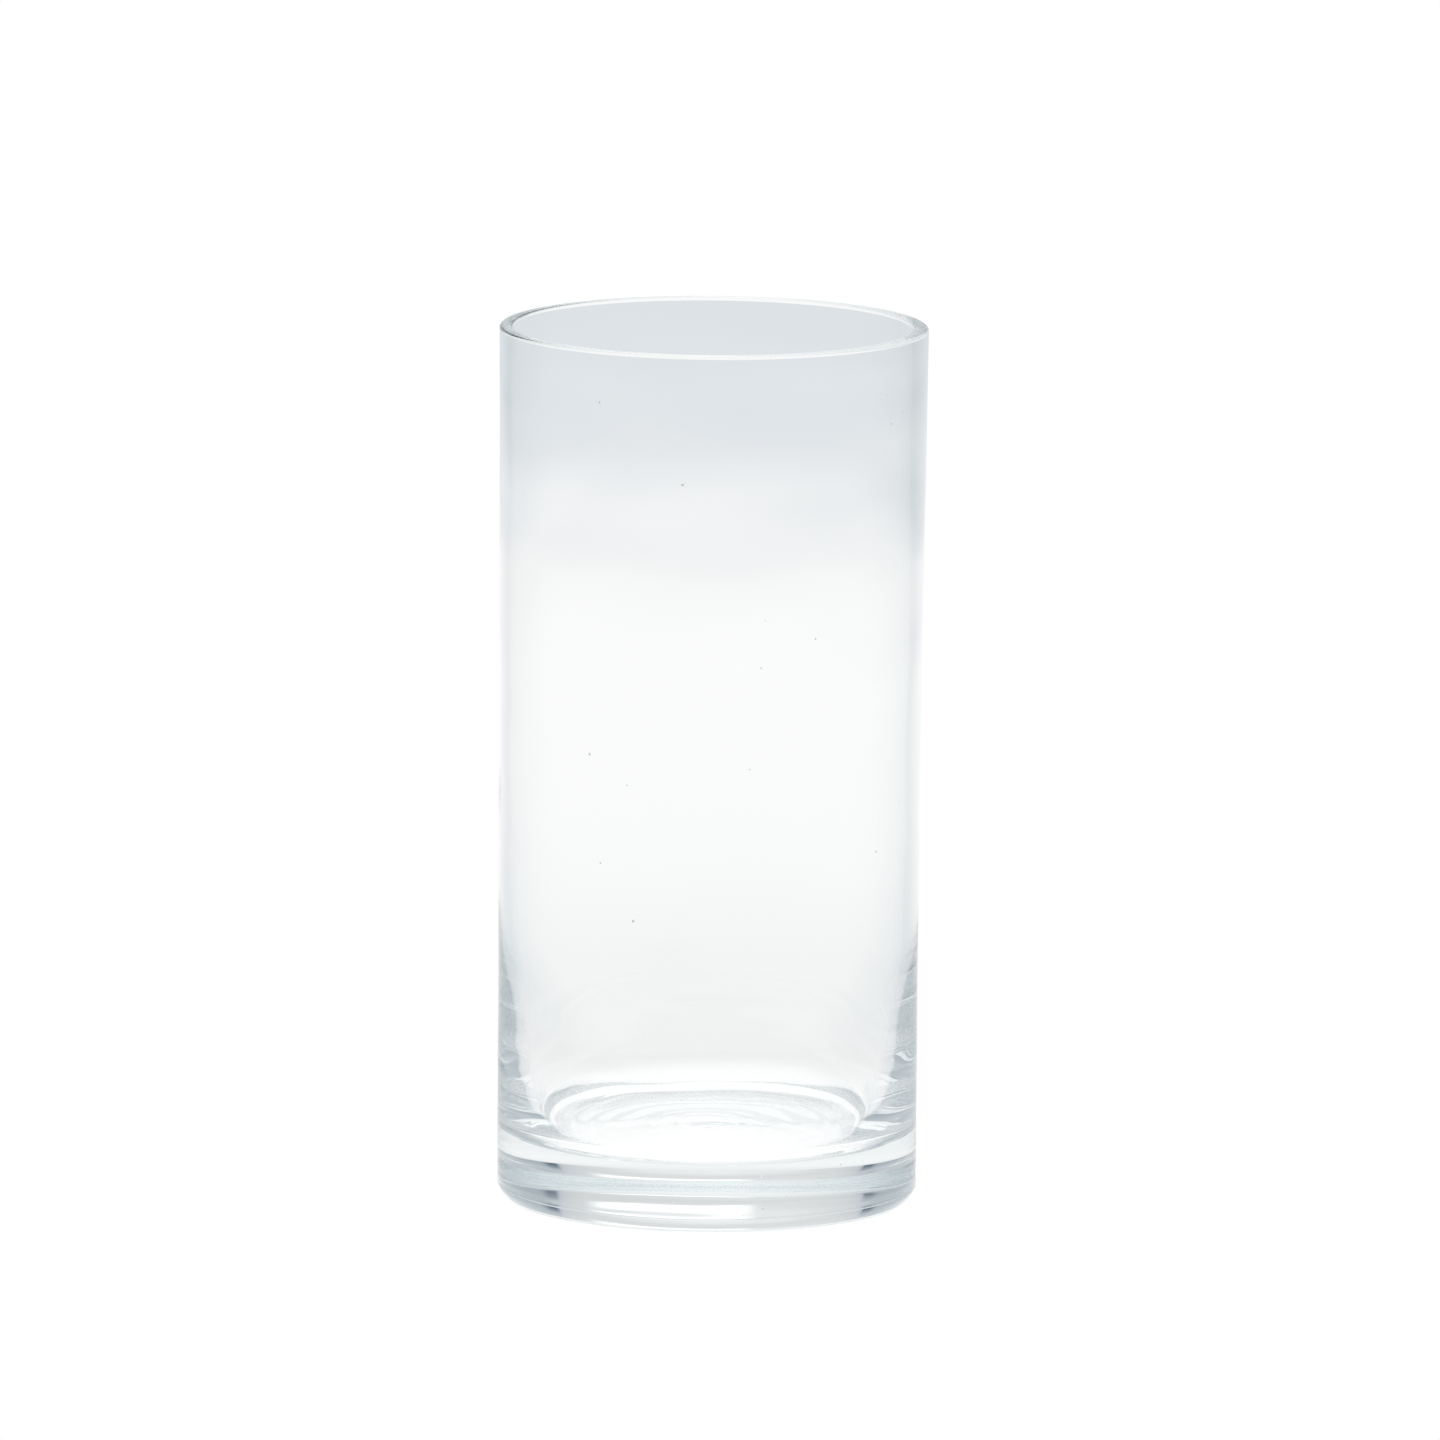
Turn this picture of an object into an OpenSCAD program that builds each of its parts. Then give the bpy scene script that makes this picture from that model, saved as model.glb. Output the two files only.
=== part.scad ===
// Glass cylinder vase: one thick-walled, heavy-based piece of clear glass.
// Millimetres, +Z up, origin at the centre of the plane that it stands on.

/* [Outside] */
// Outside diameter where the wall starts, just above the foot
body_d = 100; // [90:1:130]
// Overall height
height = 210; // [160:1:320]
// How much wider the rim is than the foot, measured on the diameter
draft = 1.9; // [0:0.1:4]

/* [Inside] */
// Thickness of the wall at the rim
rim_wall = 3.5; // [3.2:0.1:5]
// Height at which the straight bore starts to close in towards the base
bore_start_z = 80; // [60:1:100]
// Slope of the thickened wall below the bore, in degrees
wall_slope = 4; // [0.5:0.1:5]
// Radius of the round corner between the wall and the inside floor
floor_corner_r = 9; // [5:0.5:14]
// Thickness of the base at its centre
base_thickness = 12.8; // [10:0.2:24]
// Radius of the dished inside floor
floor_dish_r = 240; // [150:5:600]

/* [Rim and foot] */
// Radius of the melted edges of the rim
rim_round_r = 0.8; // [0.5:0.1:1.6]
// Radius of the rounding between the wall and the standing ring
foot_round_r = 3.5; // [3:0.5:9]
// Width of the flat ring that the vase stands on
stand_ring_w = 8.5; // [3:0.5:10]
// Depth of the shallow hollow under the base
punt_depth = 1.2; // [0.5:0.1:3]

/* [Hidden] */
$fn = 128;
glass_colour = [0.86, 0.92, 0.94, 0.45];
overcut = 1;

body_r = body_d / 2;
rim_r = body_r + draft / 2;
bore_r = rim_r - rim_wall;
wall_top_z = height - rim_round_r;
stand_ring_outer_r = body_r - foot_round_r;
stand_ring_inner_r = stand_ring_outer_r - stand_ring_w;

// The floor corner meets both the sloped wall and the dish of the floor, with a hair of overlap
// at each so that the arcs cross cleanly. Its centre is where a line beside the wall crosses a
// circle inside the dish, which is a quadratic in its height.
touch_overlap = 0.002;
slope_tan = tan(wall_slope);
dish_centre_z = base_thickness + floor_dish_r;
corner_line_r = bore_r - bore_start_z * slope_tan - floor_corner_r / cos(wall_slope) + touch_overlap;
corner_reach = floor_dish_r - floor_corner_r + touch_overlap;
quad_a = 1 + pow(slope_tan, 2);
quad_b = dish_centre_z - corner_line_r * slope_tan;
quad_c = pow(corner_line_r, 2) + pow(dish_centre_z, 2) - pow(corner_reach, 2);
corner_z = (quad_b - sqrt(pow(quad_b, 2) - quad_a * quad_c)) / quad_a;
corner_r = corner_line_r + corner_z * slope_tan;
wall_touch_z = corner_z - floor_corner_r * sin(wall_slope);
wall_touch_r = bore_r - (bore_start_z - wall_touch_z) * slope_tan;
// Where the dish hands over to the corner, carried on a little past the glass.
dish_edge_scale = (floor_dish_r + overcut) / corner_reach;
dish_edge_r = corner_r * dish_edge_scale;
dish_edge_z = dish_centre_z - (dish_centre_z - corner_z) * dish_edge_scale;

// The shallow hollow under the base is a cap of a large sphere.
punt_sphere_r = (pow(stand_ring_inner_r, 2) + pow(punt_depth, 2)) / (2 * punt_depth);

// A quarter disc of radius r whose square corner is at [x, z], pointing along the signs sx and sz.
module quarter(x, z, r, sx, sz) {
    translate([x, z])
        intersection() {
            circle(r);
            translate([sx < 0 ? -r : 0, sz < 0 ? -r : 0]) square(r);
        }
}

// Outside of the wall, foot rounding and rim, from the axis outwards.
module outline() {
    polygon([
        [0, 0],
        [stand_ring_outer_r, 0],
        [stand_ring_outer_r, foot_round_r],
        [body_r, foot_round_r],
        [rim_r, wall_top_z],
        [0, wall_top_z]
    ]);
    quarter(stand_ring_outer_r, foot_round_r, foot_round_r, 1, -1);
    translate([bore_r + rim_round_r, wall_top_z]) square([rim_wall - 2 * rim_round_r, rim_round_r]);
    quarter(rim_r - rim_round_r, wall_top_z, rim_round_r, 1, 1);
    quarter(bore_r + rim_round_r, wall_top_z, rim_round_r, -1, 1);
}

// Space inside: straight bore, sloped lower wall, round corner and dished floor.
module hollow() {
    polygon([
        [0, corner_z],
        [corner_r, corner_z],
        [wall_touch_r, wall_touch_z],
        [bore_r, bore_start_z],
        [bore_r, wall_top_z],
        [0, wall_top_z]
    ]);
    translate([corner_r, corner_z]) circle(floor_corner_r);
    intersection() {
        translate([0, dish_centre_z]) circle(floor_dish_r);
        polygon([
            [0, corner_z],
            [corner_r, corner_z],
            [dish_edge_r, dish_edge_z],
            [dish_edge_r, base_thickness - overcut],
            [0, base_thickness - overcut]
        ]);
    }
}

// Hollow under the base, inside the standing ring.
module punt() {
    intersection() {
        translate([0, punt_depth - punt_sphere_r]) circle(punt_sphere_r);
        square([stand_ring_inner_r, punt_depth]);
    }
}

module vase_glass() {
    color(glass_colour)
        rotate_extrude()
            difference() {
                outline();
                hollow();
                punt();
            }
}

vase_glass();
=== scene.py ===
"""Looks of the glass cylinder vase: blown clear glass on a pale floor in soft studio light."""

import math

import bpy
import numpy as np
from mathutils import Matrix, Vector, noise


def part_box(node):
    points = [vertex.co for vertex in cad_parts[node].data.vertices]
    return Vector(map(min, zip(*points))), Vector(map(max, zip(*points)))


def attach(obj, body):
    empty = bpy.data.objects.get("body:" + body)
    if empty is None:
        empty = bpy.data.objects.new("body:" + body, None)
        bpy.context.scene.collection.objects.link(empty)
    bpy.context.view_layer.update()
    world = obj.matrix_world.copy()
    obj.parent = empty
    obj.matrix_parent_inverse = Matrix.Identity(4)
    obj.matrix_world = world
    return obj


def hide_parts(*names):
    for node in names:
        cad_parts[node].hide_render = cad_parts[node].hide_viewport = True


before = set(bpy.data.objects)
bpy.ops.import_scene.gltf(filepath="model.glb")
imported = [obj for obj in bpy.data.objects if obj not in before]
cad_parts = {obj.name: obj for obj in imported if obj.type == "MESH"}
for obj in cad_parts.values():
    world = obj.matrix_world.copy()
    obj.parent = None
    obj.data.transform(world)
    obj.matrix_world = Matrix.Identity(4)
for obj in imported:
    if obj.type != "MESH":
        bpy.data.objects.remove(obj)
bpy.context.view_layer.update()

NODE = "vase_glass"
MM = 0.001  # in metres

# ---------------------------------------------------------------- sizes, in millimetres

node_low, node_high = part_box(NODE)
RIM_R = (node_high.x - node_low.x) / 2 / MM
HEIGHT = (node_high.z - node_low.z) / MM
DRAFT = 0.95  # how much further out the rim is than the foot
FOOT_R = RIM_R - DRAFT
RIM_ROUND = 0.8
FOOT_TOP = 3.6  # where the foot's rounding meets the straight wall
# The foot's rounding, from the standing ring up: radius and height.
FOOT = [
    (43.0, 0.0),
    (46.2, 0.04),
    (47.6, 0.2),
    (48.3, 0.7),
    (49.05, 1.7),
    (49.7, 2.8),
]
STAND_RING_OUT = FOOT[0][0]
STAND_RING_IN = 38.0
PUNT_DEPTH = 1.2
PUNT_POWER = 2.0
RIM_WALL = 3.5
BORE_R = RIM_R - RIM_WALL
RIM_Z = HEIGHT - RIM_ROUND

# The inside: radius and height, from the rim down to the middle of the floor.
INSIDE = [
    (BORE_R, RIM_Z),
    (BORE_R + 0.15, 150.0),
    (BORE_R + 0.05, 110.0),
    (47.2, 80.0),
    (46.7, 60.0),
    (45.9, 50.0),
    (44.6, 39.5),
    (43.0, 28.8),
    (41.6, 21.8),
    (40.2, 18.2),
    (38.0, 16.3),
    (34.5, 15.1),
    (28.5, 14.0),
    (19.0, 13.2),
    (0.0, 12.7),
]

BORE_OFF = (-0.43, 0.1)  # the bore's middle, which makes the wall thicker on one side
WAIST = 0.28  # how much the wall draws in at mid height
WAIST_LEAN = 0.5  # the share of the waist that one side has more, and the other less
BORE_WAIST = 0.6  # the share of the waist that the bore follows

# Ripples of the two walls: depth, added depth in the gathered lower wall, how close they lie round
# the vase, how tall one is, and seed.
OUTER_RIPPLES = [
    (0.12, 0, 1.1, 24, 1),
    (0.008, 0, 3.4, 7, 2),
    (0.006, 0, 7, 90, 3),
]
INNER_RIPPLES = [
    (0.09, 0.08, 1.5, 17, 4),
    (0.010, 0.035, 2.6, 4.5, 5),
    (0.008, 0, 6, 80, 6),
]
GATHERED_Z = (20, 75)  # the wall is gathered thick below the first height, and even above the second
FOOT_CALM_Z = 8  # the outer ripples fade out from here down to the foot
RIM_CALM = (14, 3)  # and from the first of these depths below the rim up to the second

# Marks of the tools on the inside floor, round MARK_AT: a spiral in the middle, and rings that lie
# closer near the edge. Depths are in millimetres, and the rings' closeness in waves a millimetre.
MARK_AT = (1.4, -2.0)
MARKS_Z = (20, 40)  # the marks fade out between these heights
SPIRAL_DEPTH = 0.06
SPIRAL_TURN = 1.5  # radians a millimetre
SPIRAL_SPREAD = 11
MIDDLE_RINGS = (0.09, 0.42, 0.15, 7)  # depth, closeness, how far from round, seed
EDGE_RINGS = (0.13, 1.25, 0.3, 8)
EDGE_R = (24, 31)
SWELL_DEPTH = 0.05
SWELL_ACROSS = 16

UNDER_DEPTH = 0.06  # the swell of the hollow under the base, how wide a wave is, and its lift
UNDER_ACROSS = 14
UNDER_LIFT = 0.05
UNDER_R = 22  # where it starts to fade towards the standing ring

AROUND = 320  # steps round the vase
UNDER_POINTS = 25
RING_POINTS = 6
WALL_POINTS = 64
EDGE_STEPS = 9  # steps of each melted edge of the rim
FOOT_STEP = 0.35  # spacing of the section's points over the foot, down the bore and over the floor
BORE_STEP = 3.2
FLOOR_STEP = 0.8
BASE_Z = 9.0  # the heights between which the inside counts as floor
FLOOR_Z = 46.0
GUARD = 0.1  # an extra point beside the rim's arcs keeps the walls' shading straight
STRAIGHT_Z = FOOT_TOP + 2  # the outer wall is straight from here up to near the rim
STRAIGHT_END = RIM_Z - 0.5
WALL_SHARE = (0.75, 0.97)  # the shares of the bore's radius between which the floor becomes the wall

SEEDS = 26  # tiny bubbles in the glass, one in three of them in the base
SEED_R = (0.10, 0.26)  # their radius
SEED_DRAWN = 1.7  # how much longer they are upwards, where the wall was drawn
SEED_STRAY = 0.5  # how far they lie from the middle of the wall
WALL_SEED_Z = (70, HEIGHT - 12)
BASE_SEED_R = (6, 43)
BASE_SEED_Z = (3.5, 11)
SEED_ROWS = 6
SEED_COLS = 10

NOISE_APART = (17.3, -9.1, 5.7)  # how far the noise of one seed lies from that of the next

# The glass. Its textures' scales are in waves a metre, and its grain and heights in metres.
GLASS_IOR = 1.52
GLASS_COLOUR = (0.995, 0.998, 0.998, 1)
GLASS_TINT = (0.92, 0.953, 0.962, 1)
GLASS_DENSITY = 9.0
MARK_SCALE = 45
MARK_CLEAR = 0.56  # how much of the noise leaves the glass clean
MARK_ROUGHNESS = 0.12
SCUFF_SCALE = 900
GROUND_ROUGHNESS = 0.26
GRAIN_SCALE = 2600
GROUND_GRAIN = 0.00001
GROUND_LOW = 0.000015  # the foot is ground below the first height, and clear above the second
GROUND_HIGH = 0.00004


# ---------------------------------------------------------------- the glass's section


def arc(centre_r, centre_z, radius, start_deg, end_deg, steps):
    """Points of an arc in the section, both ends included."""
    angles = np.radians(np.linspace(start_deg, end_deg, steps + 1))
    return [(centre_r + radius * math.cos(a), centre_z + radius * math.sin(a)) for a in angles]


def smooth_line(points, step):
    """A centripetal Catmull-Rom curve through the points, about one point every step. A curve that
    ends on the axis meets it level."""
    (r0, z0), (r1, z1) = points[0], points[1]
    (r8, z8), (r9, z9) = points[-2], points[-1]
    after = (-r8, z8) if r9 == 0 else (2 * r9 - r8, 2 * z9 - z8)
    ends = [(2 * r0 - r1, 2 * z0 - z1), after]
    knots = [np.array(p, float) for p in [ends[0], *points, ends[1]]]
    line = [tuple(points[0])]
    for p0, p1, p2, p3 in zip(knots, knots[1:], knots[2:], knots[3:]):
        t1 = math.sqrt(np.linalg.norm(p1 - p0))
        t2 = t1 + math.sqrt(np.linalg.norm(p2 - p1))
        t3 = t2 + math.sqrt(np.linalg.norm(p3 - p2))
        here = FLOOR_STEP if BASE_Z < p1[1] < FLOOR_Z else step
        count = max(3, round(np.linalg.norm(p2 - p1) / here))
        for t in np.linspace(t1, t2, count + 1)[1:]:
            a1 = (t1 - t) / t1 * p0 + t / t1 * p1
            a2 = (t2 - t) / (t2 - t1) * p1 + (t - t1) / (t2 - t1) * p2
            a3 = (t3 - t) / (t3 - t2) * p2 + (t - t2) / (t3 - t2) * p3
            b1 = (t2 - t) / t2 * a1 + t / t2 * a2
            b2 = (t3 - t) / (t3 - t1) * a2 + (t - t1) / (t3 - t1) * a3
            line.append(tuple((t2 - t) / (t2 - t1) * b1 + (t - t1) / (t2 - t1) * b2))
    return line


def wall_r(z):
    """The outer wall's radius at a height above the foot."""
    return FOOT_R + DRAFT * (z - FOOT_TOP) / (RIM_Z - FOOT_TOP)


def outside_section():
    """From the middle of the underside, out over the standing ring, up the wall and over the rim."""
    under = [
        (r, PUNT_DEPTH * (1 - (r / STAND_RING_IN) ** PUNT_POWER))
        for r in np.linspace(0, STAND_RING_IN, UNDER_POINTS)
    ]
    ring = [(r, 0.0) for r in np.linspace(STAND_RING_IN, STAND_RING_OUT, RING_POINTS)[1:]]
    into_wall = [(FOOT_R, FOOT_TOP), (wall_r(STRAIGHT_Z), STRAIGHT_Z)]
    foot = smooth_line([*FOOT, *into_wall], FOOT_STEP)[1:]
    heights = [*np.linspace(STRAIGHT_Z, STRAIGHT_END, WALL_POINTS)[1:], RIM_Z - GUARD, RIM_Z]
    wall = [(wall_r(z), z) for z in heights]
    outer_edge = arc(RIM_R - RIM_ROUND, RIM_Z, RIM_ROUND, 0, 90, EDGE_STEPS)[1:]
    return under + ring + foot + wall + outer_edge


def inside_section():
    """From the rim's inner edge down the bore and over the floor to its middle."""
    inner_edge = arc(BORE_R + RIM_ROUND, RIM_Z, RIM_ROUND, 90, 180, EDGE_STEPS)
    return inner_edge + [(BORE_R, RIM_Z - GUARD)] + smooth_line(INSIDE, BORE_STEP)[1:]


def revolve(section_out, section_in):
    """A closed mesh of the section turned round Z, with the unevenness of blown glass added."""
    section = np.array(section_out + section_in, float)
    inside = [False] * len(section_out) + [True] * len(section_in)
    turn = np.linspace(0, 2 * math.pi, AROUND, endpoint=False)
    points = [uneven(r, z, deep, turn) for (r, z), deep in zip(section, inside)]

    verts, rings = [], []
    for ring_points in points:
        on_axis = np.hypot(ring_points[:, 0], ring_points[:, 1]).max() < 1e-6
        start = len(verts)
        kept = ring_points[:1] if on_axis else ring_points
        verts.extend(kept * MM)
        rings.append((start, on_axis))

    faces = []
    for (a, a_point), (b, b_point) in zip(rings, rings[1:]):
        for j in range(AROUND):
            k = (j + 1) % AROUND
            if a_point:
                faces.append((a, b + k, b + j))
            elif b_point:
                faces.append((a + j, a + k, b))
            else:
                faces.append((a + j, a + k, b + k, b + j))
    return verts, faces


def soft_step(low, high, value):
    """0 below low, 1 above high, smooth between."""
    t = min(1.0, max(0.0, (value - low) / (high - low)))
    return t * t * (3 - 2 * t)


def wander(x, y, z, seed):
    """Smooth noise about zero, roughly within plus and minus one."""
    across, along, up = NOISE_APART
    return noise.noise(Vector((x + across * seed, y + along * seed, z + up * seed)))


def rim_calm(z):
    """The fire polish evens out the wall near the rim: 1 below it, 0 at it."""
    start, end = RIM_CALM
    return 1 - soft_step(HEIGHT - start, HEIGHT - end, z)


def ripples(angle, z, rows, gathered=0):
    """The ripples of a wall at one place, in millimetres. gathered is 1 in the thick lower wall."""
    c, s = math.cos(angle), math.sin(angle)
    return sum(
        (depth + more * gathered) * wander(c * close, s * close, z / tall, seed)
        for depth, more, close, tall, seed in rows
    )


def outer_offset(angle, z):
    """How far the outer wall stands out from its true line, in millimetres. Never outwards at the rim."""
    waist = -WAIST * math.sin(math.pi * z / HEIGHT) * (1 + WAIST_LEAN * math.cos(angle))
    return waist + ripples(angle, z, OUTER_RIPPLES) * rim_calm(z) * soft_step(0, FOOT_CALM_Z, z)


def inner_offset(angle, z):
    """The same for the bore. The lower wall, which was gathered thick, is the least even."""
    gathered = 1 - soft_step(*GATHERED_Z, z)
    waist = -BORE_WAIST * WAIST * math.sin(math.pi * z / HEIGHT)
    return waist + ripples(angle, z, INNER_RIPPLES, gathered) * rim_calm(z)


def tool_rings(from_mark, turned, depth, close, stray, seed):
    """Rings round the mark that aren't quite round."""
    off_round = (stray * math.cos(turned), stray * math.sin(turned))
    return depth * wander(from_mark * close, *off_round, seed)


def floor_offset(x, y):
    """Height of the rings, spiral and swell that the tools left on the inside floor, in millimetres."""
    from_mark = math.hypot(x - MARK_AT[0], y - MARK_AT[1])
    turned = math.atan2(y - MARK_AT[1], x - MARK_AT[0])
    fade = math.exp(-((from_mark / SPIRAL_SPREAD) ** 2))
    spiral = SPIRAL_DEPTH * math.sin(from_mark * SPIRAL_TURN - turned) * fade
    edge = soft_step(*EDGE_R, from_mark)
    middle_rings = tool_rings(from_mark, turned, *MIDDLE_RINGS) * (1 - edge)
    edge_rings = tool_rings(from_mark, turned, *EDGE_RINGS) * edge
    swell = SWELL_DEPTH * wander(x / SWELL_ACROSS, y / SWELL_ACROSS, 0, 9)
    return spiral + middle_rings + edge_rings + swell


def under_offset(x, y):
    """Height of the swell in the hollow under the base."""
    swell = UNDER_DEPTH * wander(x / UNDER_ACROSS, y / UNDER_ACROSS, 0, 10) + UNDER_LIFT
    return swell * (1 - soft_step(UNDER_R, STAND_RING_IN, math.hypot(x, y)))


def steepness(r, deep):
    """1 where the section at radius r is the wall, which is moved in and out, and 0 where it is flat."""
    if deep:
        low, high = WALL_SHARE
        return soft_step(low * BORE_R, high * BORE_R, r)
    return soft_step(STAND_RING_OUT, FOOT_R, r)


def uneven(r, z, deep, turn):
    """One ring of the vase at section point (r, z). deep is True inside the vase."""
    ring = np.empty((len(turn), 3))
    steep = steepness(r, deep)
    below = z < FOOT_TOP and r < STAND_RING_IN
    for i, angle in enumerate(turn):
        if deep:
            wall = inner_offset(angle, z) * steep
            lift = floor_offset(r * math.cos(angle), r * math.sin(angle)) * (1 - steep)
            lift *= 1 - soft_step(*MARKS_Z, z)
        else:
            wall = outer_offset(angle, z) * steep
            lift = under_offset(r * math.cos(angle), r * math.sin(angle)) if below else 0
        ring[i] = ((r + wall) * math.cos(angle), (r + wall) * math.sin(angle), z + lift)
    if deep:
        ring[:, :2] += BORE_OFF
    return ring


def seed_places():
    """Middles of the bubbles, all well inside the glass: in the wall and in the thick base."""
    rng = np.random.default_rng(11)
    places = []
    for i in range(SEEDS):
        angle = rng.uniform(0, 2 * math.pi)
        if i % 3:
            r = BORE_R + RIM_WALL / 2 + rng.uniform(-SEED_STRAY, SEED_STRAY)
            z = rng.uniform(*WALL_SEED_Z)
        else:
            r = rng.uniform(*BASE_SEED_R)
            z = rng.uniform(*BASE_SEED_Z)
        places.append((r * math.cos(angle), r * math.sin(angle), z))
    return places


def add_seeds(verts, faces):
    """Bubbles as small hollows: closed shells whose faces look inwards, away from the glass."""
    rng = np.random.default_rng(12)
    for x, y, z in seed_places():
        radius = rng.uniform(*SEED_R)
        start = len(verts)
        for i in range(1, SEED_ROWS):
            polar = math.pi * i / SEED_ROWS
            for j in range(SEED_COLS):
                turn = 2 * math.pi * j / SEED_COLS
                across = radius * math.sin(polar)
                up = SEED_DRAWN * radius * math.cos(polar)
                spot = (x + across * math.cos(turn), y + across * math.sin(turn), z + up)
                verts.append(np.array(spot) * MM)
        top, bottom = len(verts), len(verts) + 1
        verts.append(np.array((x, y, z + SEED_DRAWN * radius)) * MM)
        verts.append(np.array((x, y, z - SEED_DRAWN * radius)) * MM)
        last = start + (SEED_ROWS - 2) * SEED_COLS
        for j in range(SEED_COLS):
            k = (j + 1) % SEED_COLS
            faces.append((top, start + k, start + j))
            faces.append((bottom, last + j, last + k))
            for row in range(start, last, SEED_COLS):
                below = row + SEED_COLS
                faces.append((row + j, row + k, below + k, below + j))


def add_mesh(name, verts, faces, material):
    """A smooth-shaded object of one material, in the scene."""
    mesh = bpy.data.meshes.new(name)
    mesh.from_pydata([tuple(v) for v in verts], [], faces)
    mesh.materials.append(material)
    mesh.shade_smooth()
    mesh.validate()
    obj = bpy.data.objects.new(name, mesh)
    bpy.context.scene.collection.objects.link(obj)
    return obj


# ---------------------------------------------------------------- nodes


def add_node(tree, kind, **settings):
    """A node with its properties set."""
    made = tree.nodes.new(kind)
    for key, value in settings.items():
        setattr(made, key, value)
    return made


def math_node(tree, operation, a, b=None):
    """One sum on numbers; a and b are sockets or plain numbers."""
    made = add_node(tree, "ShaderNodeMath", operation=operation)
    for socket, value in zip(made.inputs, (a, b)):
        if isinstance(value, (int, float)):
            socket.default_value = value
        elif value is not None:
            tree.links.new(value, socket)
    return made.outputs[0]


def mix_colours(tree, a, b, factor=None, mode="MIX"):
    """Two colour sockets mixed: by factor, or fully where it isn't given."""
    made = add_node(tree, "ShaderNodeMix", data_type="RGBA", blend_type=mode)
    made.inputs["Factor"].default_value = 1
    if factor is not None:
        tree.links.new(factor, made.inputs["Factor"])
    tree.links.new(a, made.inputs[6])
    tree.links.new(b, made.inputs[7])
    return made.outputs[2]


def full_colour(shade):
    """A brightness or colour, as four numbers."""
    return (*shade, 1) if isinstance(shade, tuple) else (shade, shade, shade, 1)


def one_colour(tree, shade):
    """One brightness or colour, as a colour socket."""
    made = add_node(tree, "ShaderNodeRGB")
    made.outputs[0].default_value = full_colour(shade)
    return made.outputs[0]


def ramp(tree, value, low, high, stops):
    """Colours over value, from low to high. Each stop is (value, brightness or colour)."""
    scaled = add_node(tree, "ShaderNodeMapRange")
    scaled.inputs["From Min"].default_value = low
    scaled.inputs["From Max"].default_value = high
    tree.links.new(value, scaled.inputs["Value"])
    made = add_node(tree, "ShaderNodeValToRGB")
    tree.links.new(scaled.outputs["Result"], made.inputs["Fac"])
    elements = made.color_ramp.elements
    while len(elements) < len(stops):
        elements.new(0.5)
    for element, (at, shade) in zip(elements, stops):
        element.position = (at - low) / (high - low)
        element.color = full_colour(shade)
    return made.outputs["Color"]


def glow(tree, output, colour, kind):
    """Plain white where the camera sees it directly, and colour in whatever the glass shows of it."""
    seen = add_node(tree, kind)
    seen.inputs["Color"].default_value = (1, 1, 1, 1)
    lit = add_node(tree, kind)
    tree.links.new(colour, lit.inputs["Color"])
    path = add_node(tree, "ShaderNodeLightPath")
    pick = add_node(tree, "ShaderNodeMixShader")
    tree.links.new(path.outputs["Is Camera Ray"], pick.inputs["Fac"])
    tree.links.new(lit.outputs[0], pick.inputs[1])
    tree.links.new(seen.outputs[0], pick.inputs[2])
    tree.links.new(pick.outputs[0], output.inputs["Surface"])


# ---------------------------------------------------------------- materials


def height_mask(tree, axes, low, high):
    """1 where the vase is lower than low, 0 above high, in metres."""
    made = add_node(tree, "ShaderNodeMapRange")
    made.inputs["From Min"].default_value = high
    made.inputs["From Max"].default_value = low
    tree.links.new(axes.outputs["Z"], made.inputs["Value"])
    return made.outputs["Result"]


def texture_noise(tree, place, scale, detail):
    """Noise over the vase, about 0.5 on average."""
    made = add_node(tree, "ShaderNodeTexNoise")
    made.inputs["Scale"].default_value = scale
    made.inputs["Detail"].default_value = detail
    tree.links.new(place, made.inputs["Vector"])
    return made.outputs["Fac"]


def clear_glass():
    """Clear soda-lime glass with the faintest handling marks, and a ground ring where it stands."""
    material = bpy.data.materials.new("clear_glass")
    material.use_nodes = True
    tree = material.node_tree
    shader = tree.nodes["Principled BSDF"]
    shader.inputs["Base Color"].default_value = GLASS_COLOUR
    shader.inputs["Transmission Weight"].default_value = 1
    shader.inputs["IOR"].default_value = GLASS_IOR

    place = add_node(tree, "ShaderNodeTexCoord").outputs["Object"]
    axes = add_node(tree, "ShaderNodeSeparateXYZ")
    tree.links.new(place, axes.inputs[0])
    ground = height_mask(tree, axes, GROUND_LOW, GROUND_HIGH)
    marks = math_node(tree, "SUBTRACT", texture_noise(tree, place, MARK_SCALE, 4), MARK_CLEAR)
    marks = math_node(tree, "MULTIPLY", math_node(tree, "MAXIMUM", marks, 0), MARK_ROUGHNESS)
    scuffs = texture_noise(tree, place, SCUFF_SCALE, 3)
    scuffs = math_node(tree, "MULTIPLY", scuffs, 2 * GROUND_ROUGHNESS)
    rough = math_node(tree, "ADD", marks, math_node(tree, "MULTIPLY", scuffs, ground))
    tree.links.new(rough, shader.inputs["Roughness"])

    bump = add_node(tree, "ShaderNodeBump")
    bump.inputs["Distance"].default_value = GROUND_GRAIN
    tree.links.new(ground, bump.inputs["Strength"])
    tree.links.new(texture_noise(tree, place, GRAIN_SCALE, 3), bump.inputs["Height"])
    tree.links.new(bump.outputs["Normal"], shader.inputs["Normal"])

    body = add_node(tree, "ShaderNodeVolumeAbsorption")
    body.inputs["Color"].default_value = GLASS_TINT
    body.inputs["Density"].default_value = GLASS_DENSITY
    tree.links.new(body.outputs[0], tree.nodes["Material Output"].inputs["Volume"])
    return material


# ---------------------------------------------------------------- the vase

glass = clear_glass()
verts, faces = revolve(outside_section(), inside_section())
add_seeds(verts, faces)
vase = add_mesh("vase", verts, faces, glass)
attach(vase, "root")
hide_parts(NODE)

# ---------------------------------------------------------------- floor and light

FLOOR_HALF = 6.0  # in metres, as is all of the floor
FLOOR_DROP = 0.0002
FAR = 6.0
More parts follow.
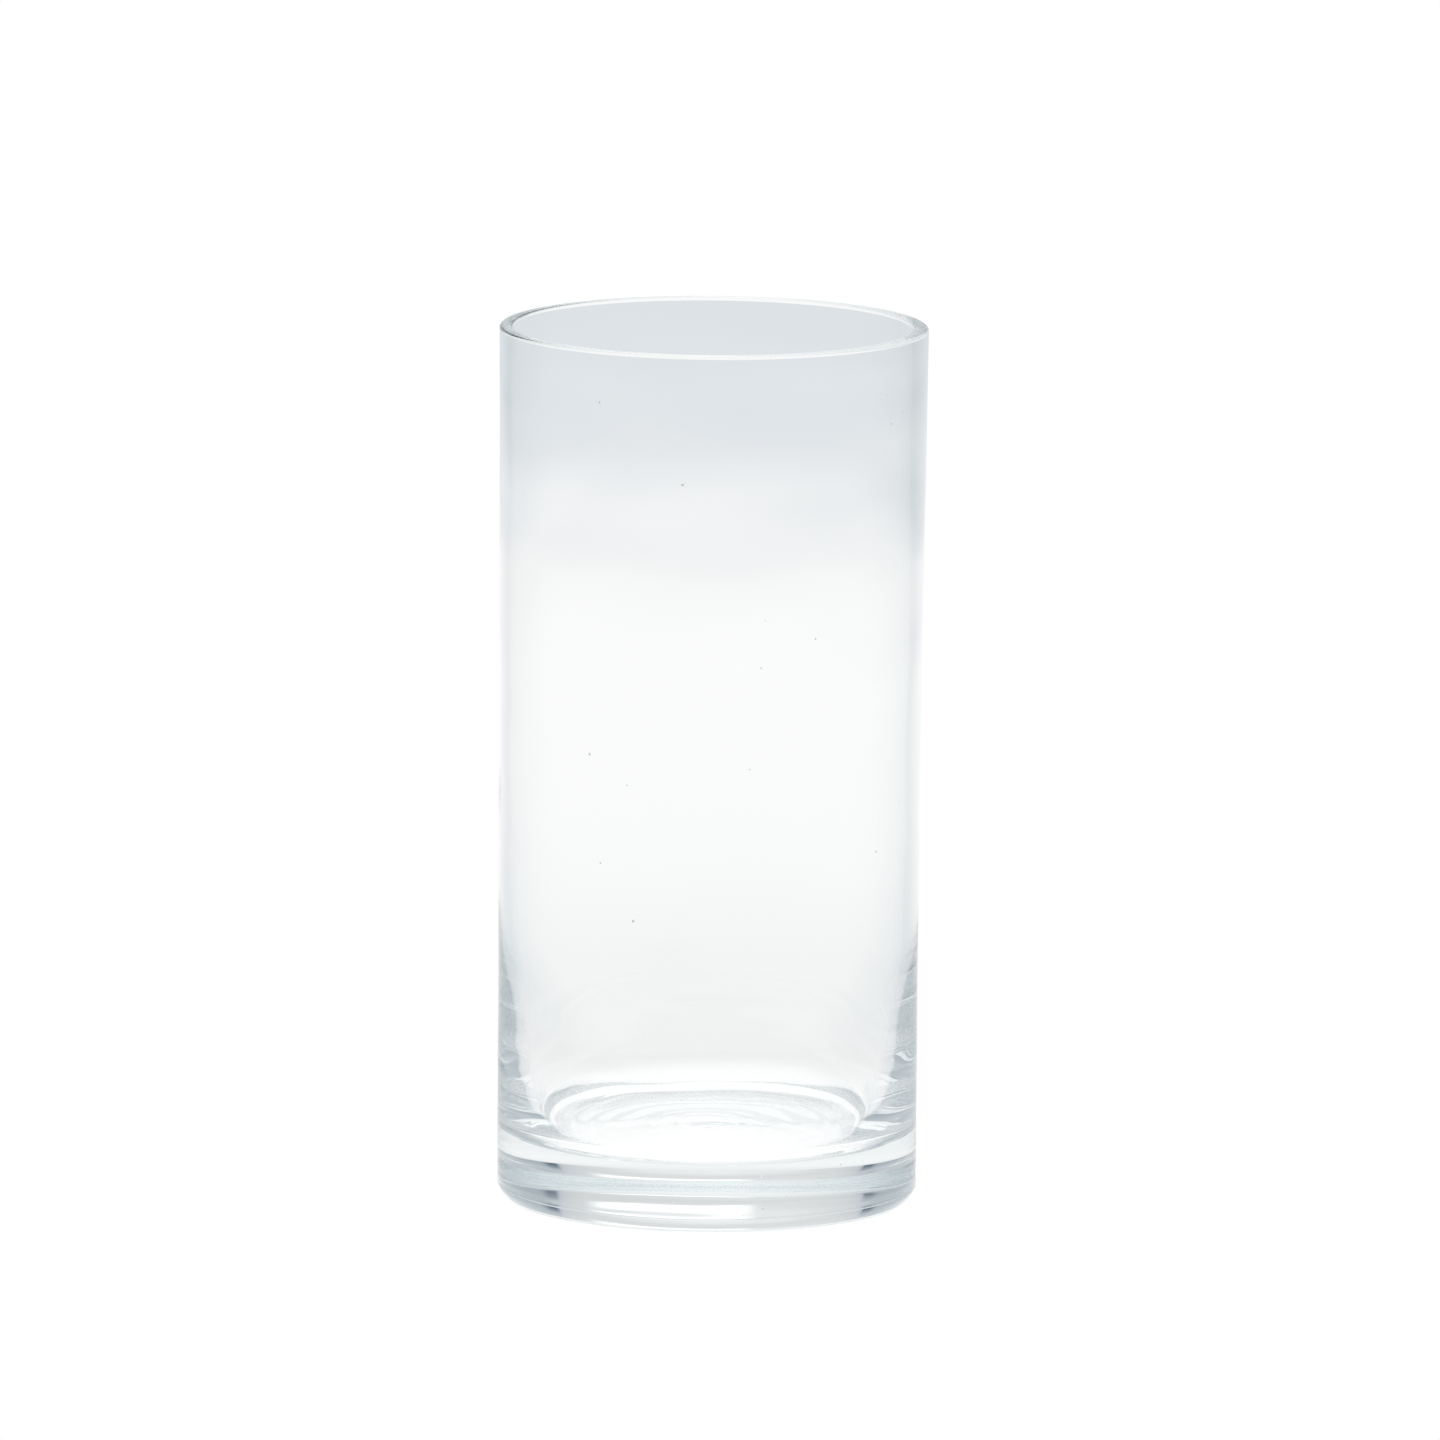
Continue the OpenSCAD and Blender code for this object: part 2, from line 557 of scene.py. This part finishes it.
# Glow of the floor where the glass shows it, by distance from the vase: a painted pool of light under
# the vase, and painted shade further out. Straight behind it, to the two sides of that, and on all the
# other sides.
FLOOR_PAINTED_LIGHT_BEHIND = [
    (0.0, 1.15),
    (0.05, 1.08),
    (0.09, 0.90),
    (0.2, 0.91),
    (0.45, 0.96),
    (0.8, 0.985),
    (1.0, 0.945),
    (1.2, (0.83, 0.85, 0.87)),
    (1.35, (0.76, 0.79, 0.82)),
    (1.7, (0.71, 0.75, 0.79)),
    (2.6, (0.67, 0.72, 0.76)),
    (3.3, (0.40, 0.45, 0.50)),
    (FAR, (0.28, 0.33, 0.38)),
]
FLOOR_PAINTED_LIGHT_BESIDE = [
    (0.0, 1.15),
    (0.05, 1.08),
    (0.09, 0.88),
    (0.2, (0.72, 0.76, 0.78)),
    (0.5, (0.82, 0.84, 0.85)),
    (1.0, (0.81, 0.83, 0.84)),
    (1.4, (0.66, 0.69, 0.71)),
    (2.3, (0.46, 0.51, 0.55)),
    (FAR, (0.24, 0.30, 0.35)),
]
FLOOR_PAINTED_LIGHT_ROUND = [
    (0.0, 1.15),
    (0.05, 1.05),
    (0.09, 0.88),
    (0.2, (0.90, 0.91, 0.92)),
    (0.5, (0.96, 0.95, 0.94)),
    (1.1, (0.93, 0.92, 0.91)),
    (1.6, (0.74, 0.75, 0.77)),
    (2.3, (0.52, 0.56, 0.60)),
    (FAR, (0.45, 0.50, 0.55)),
]
# Where the first gives way to the second, and that to the third, in degrees from straight behind.
FLOOR_TURN = [(0, 0.0), (14, 0.0), (34, 1.0), (180, 1.0)]
FLOOR_TURN_ROUND = [(0, 0.0), (50, 0.0), (80, 1.0), (180, 1.0)]

# The room, by heading and by elevation in degrees. Headings count from the middle of the backdrop, to
# both sides alike. The backdrop dims to its edges and ends in a dark gap, with paler screens beyond.
BACKDROP_OFF = 1.5  # how far the backdrop stands off to the left
BACKDROP = [
    (0, 0.90),
    (14, 0.84),
    (26, 0.70),
    (35, (0.55, 0.58, 0.62)),
    (43, (0.36, 0.42, 0.46)),
    (180, (0.48, 0.51, 0.52)),
]
CEILING_RISE = [(9, 0.0), (16, 0.1), (25, 0.34), (36, 0.64), (55, 0.86), (77, 1.0)]
CEILING_GLOW = 1.02
# A duller fold low across the backdrop.
FOLD_HEADING = [(24, 1.0), (33, 0.0)]
FOLD_RISE = [(5, 0.0), (9, 0.8), (16, 0.25), (25, 0.0)]
FOLD_GLOW = 0.7
GAP_HEADING = [(35, 0.0), (36.3, 1.0), (39.5, 1.0), (43, 0.0)]
GAP_RISE = [(5, 1.0), (9, 0.74), (16, 0.0)]
GAP_GLOW = (0.05, 0.09, 0.15)
# A long soft light low on the backdrop, mostly right of the vase. Its heading counts from straight
# behind the vase, to the right.
STRIP_HEADING = [(-10, 0.0), (-5, 1.0), (19, 1.0), (26, 0.0)]
STRIP_RISE = [(11, 0.0), (12, 1.0), (15.5, 1.0), (18, 0.0)]
STRIP_GLOW = 1.35


def heading_degrees(tree, axes):
    """How far a direction turns from straight behind the vase, -180 to 180, right counting up."""
    turned = math_node(tree, "ARCTAN2", axes.outputs["X"], axes.outputs["Y"])
    return math_node(tree, "MULTIPLY", turned, math.degrees(1))


def add_floor():
    """The floor, a little below the vase's foot: white to the camera, painted light and shade through the
    glass.
    """
    half = FLOOR_HALF
    corners = [(-half, -half), (half, -half), (half, half), (-half, half)]
    # The floor's material glows: plain white to the camera, and a painted pool of light and painted shade
    # where the glass shows it.
    material = bpy.data.materials.new("pale_floor_painted_light")
    material.use_nodes = True
    tree = material.node_tree
    tree.nodes.clear()
    output = add_node(tree, "ShaderNodeOutputMaterial")
    place = add_node(tree, "ShaderNodeTexCoord").outputs["Object"]
    length = add_node(tree, "ShaderNodeVectorMath", operation="LENGTH")
    tree.links.new(place, length.inputs[0])
    distance = length.outputs["Value"]
    axes = add_node(tree, "ShaderNodeSeparateXYZ")
    tree.links.new(place, axes.inputs[0])
    turned = math_node(tree, "ABSOLUTE", heading_degrees(tree, axes))
    beside = ramp(tree, turned, 0, 180, FLOOR_TURN)
    around = ramp(tree, turned, 0, 180, FLOOR_TURN_ROUND)
    sides = (FLOOR_PAINTED_LIGHT_BEHIND, FLOOR_PAINTED_LIGHT_BESIDE, FLOOR_PAINTED_LIGHT_ROUND)
    shades = [ramp(tree, distance, 0, FAR, stops) for stops in sides]
    shade = mix_colours(tree, shades[0], shades[1], beside)
    shade = mix_colours(tree, shade, shades[2], around)
    # The floor glows with this painted light and shade wherever it is seen through the glass.
    glow(tree, output, shade, "ShaderNodeEmission")
    floor = add_mesh("floor", [(x, y, -FLOOR_DROP) for x, y in corners], [(0, 1, 2, 3)], material)


def add_patch(tree, room, shade, across, up):
    """The room with a patch of another shade. across and up say where it lies: an angle, the most
    that it can be, and stops."""
    masks = [ramp(tree, angle, -most, most, stops) for angle, most, stops in (across, up)]
    lit = mix_colours(tree, *masks, mode="MULTIPLY")
    return mix_colours(tree, room, one_colour(tree, shade), lit)


def light_room():
    """The soft studio light, as a world round the vase."""
    world = bpy.data.worlds.new("studio")
    bpy.context.scene.world = world
    world.use_nodes = True
    tree = world.node_tree
    tree.nodes.clear()
    output = add_node(tree, "ShaderNodeOutputWorld")
    axes = add_node(tree, "ShaderNodeSeparateXYZ")
    tree.links.new(add_node(tree, "ShaderNodeTexCoord").outputs["Generated"], axes.inputs[0])
    heading = heading_degrees(tree, axes)
    turned = math_node(tree, "ABSOLUTE", math_node(tree, "ADD", heading, BACKDROP_OFF))
    rise = math_node(tree, "ARCSINE", axes.outputs["Z"])
    rise = math_node(tree, "MULTIPLY", rise, math.degrees(1))
    shade = ramp(tree, turned, 0, 180, BACKDROP)
    ceiling = ramp(tree, rise, 0, 90, CEILING_RISE)
    shade = mix_colours(tree, shade, one_colour(tree, CEILING_GLOW), ceiling)
    shade = add_patch(tree, shade, FOLD_GLOW, (turned, 180, FOLD_HEADING), (rise, 90, FOLD_RISE))
    shade = add_patch(tree, shade, GAP_GLOW, (turned, 180, GAP_HEADING), (rise, 90, GAP_RISE))
    shade = add_patch(tree, shade, STRIP_GLOW, (heading, 180, STRIP_HEADING), (rise, 90, STRIP_RISE))
    glow(tree, output, shade, "ShaderNodeBackground")


add_floor()
light_room()

# ---------------------------------------------------------------- camera

CAMERA_DISTANCE = 5.0
CAMERA_ELEVATION = math.radians(9.452)
CAMERA_ROLL = 0.0092
CAMERA_LENS = 525.0  # in millimetres, on a sensor this wide
SENSOR = 36.0
AIM_HEIGHT = 0.1  # the camera turns round the vase's axis at this height
AIM_RIGHT = 0.0022  # and looks this far right of it and this far above
AIM_UP = 0.01504


def add_camera():
    """The camera: far off, a little above the vase, and with a long lens."""
    back = Vector((0, -math.cos(CAMERA_ELEVATION), math.sin(CAMERA_ELEVATION)))
    middle = Vector((0, 0, AIM_HEIGHT))
    place = middle + back * CAMERA_DISTANCE
    right = Vector((1, 0, 0))
    up = right.cross(-back)
    ahead = (middle + right * AIM_RIGHT + up * AIM_UP - place).normalized()
    right = ahead.cross(Vector((0, 0, 1))).normalized()
    up = right.cross(ahead)
    tilted_right = right * math.cos(CAMERA_ROLL) + up * math.sin(CAMERA_ROLL)
    tilted_up = up * math.cos(CAMERA_ROLL) - right * math.sin(CAMERA_ROLL)
    turn = Matrix((tilted_right, tilted_up, -ahead)).transposed().to_4x4()
    data = bpy.data.cameras.new("camera")
    data.sensor_width = SENSOR
    data.lens = CAMERA_LENS
    data.clip_end = 100
    camera = bpy.data.objects.new("camera", data)
    bpy.context.scene.collection.objects.link(camera)
    camera.matrix_world = Matrix.Translation(place) @ turn
    bpy.context.scene.camera = camera


add_camera()

BOUNCES = 96  # the thick base goes dark with fewer

scene = bpy.context.scene
scene.view_settings.view_transform = "Standard"
scene.cycles.max_bounces = BOUNCES
scene.cycles.transmission_bounces = BOUNCES
scene.cycles.glossy_bounces = BOUNCES
